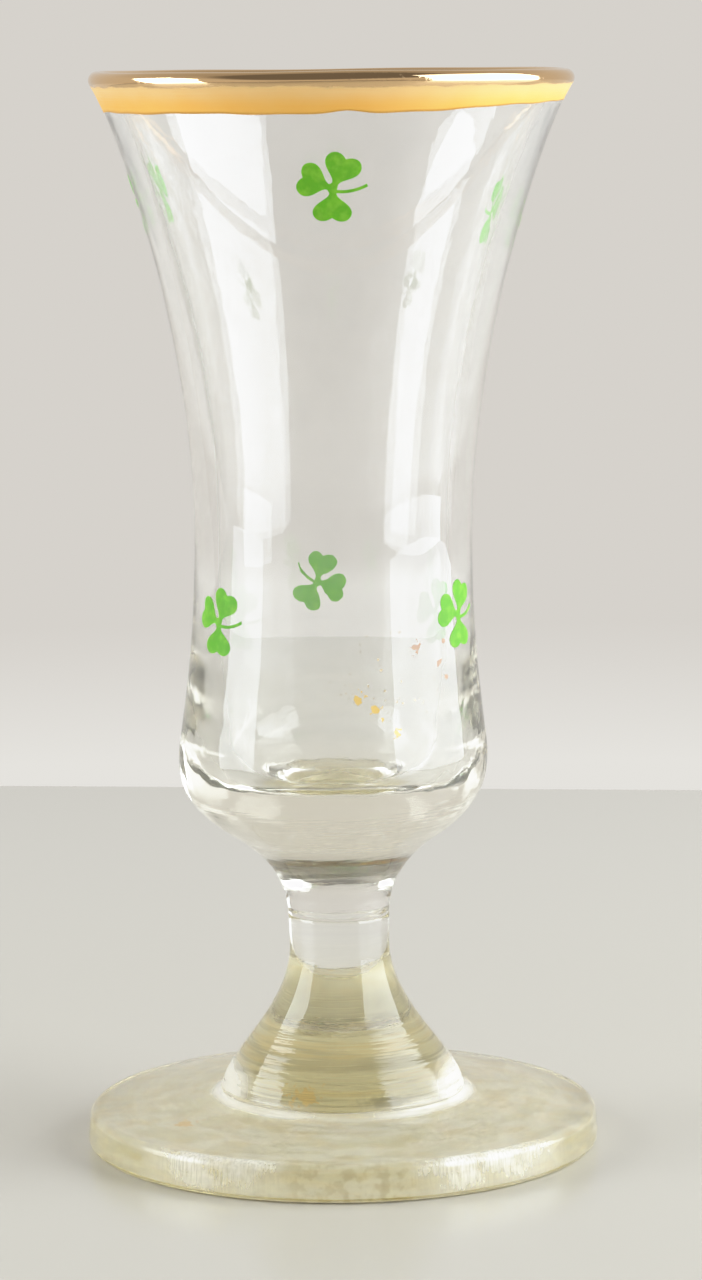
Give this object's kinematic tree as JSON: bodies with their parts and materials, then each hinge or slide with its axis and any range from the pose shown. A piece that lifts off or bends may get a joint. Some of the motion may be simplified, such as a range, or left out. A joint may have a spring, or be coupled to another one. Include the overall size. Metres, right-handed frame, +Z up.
{
  "type": "footed shot glass",
  "caption": "Small clear glass for spirits: flared bowl with a gilded lip and green clover transfers, short solid stem, round flat foot.",
  "frame": {"origin": "centre of the foot's flat underside, on the glass's own axis", "axes": "+Z up along the axis towards the rim, -Y towards the front shamrock, +X to the right seen from the front"},
  "size_m": [0.0488, 0.0488, 0.1016],
  "materials": {
    "bowl_glass": "clear fire-polished soda-lime glass",
    "stem_glass": "clear solid soda-lime glass",
    "foot_glass": "clear soda-lime glass, clouded and scratched by use, with a yellow-green tint on edge",
    "fired_gold": "fired liquid gold, mirror bright on the bead and satin on the band",
    "green_enamel": "fired green glass enamel, semi-gloss"
  },
  "bodies": {
    "root": {"bowl": "bowl_glass", "stem": "stem_glass", "foot": "foot_glass", "gold_rim": "fired_gold", "shamrock_upper_front": "green_enamel", "shamrock_upper_right": "green_enamel", "shamrock_upper_left": "green_enamel", "shamrock_lower_right": "green_enamel", "shamrock_lower_left": "green_enamel", "shamrock_lower_back": "green_enamel"}
  },
  "joints": []
}
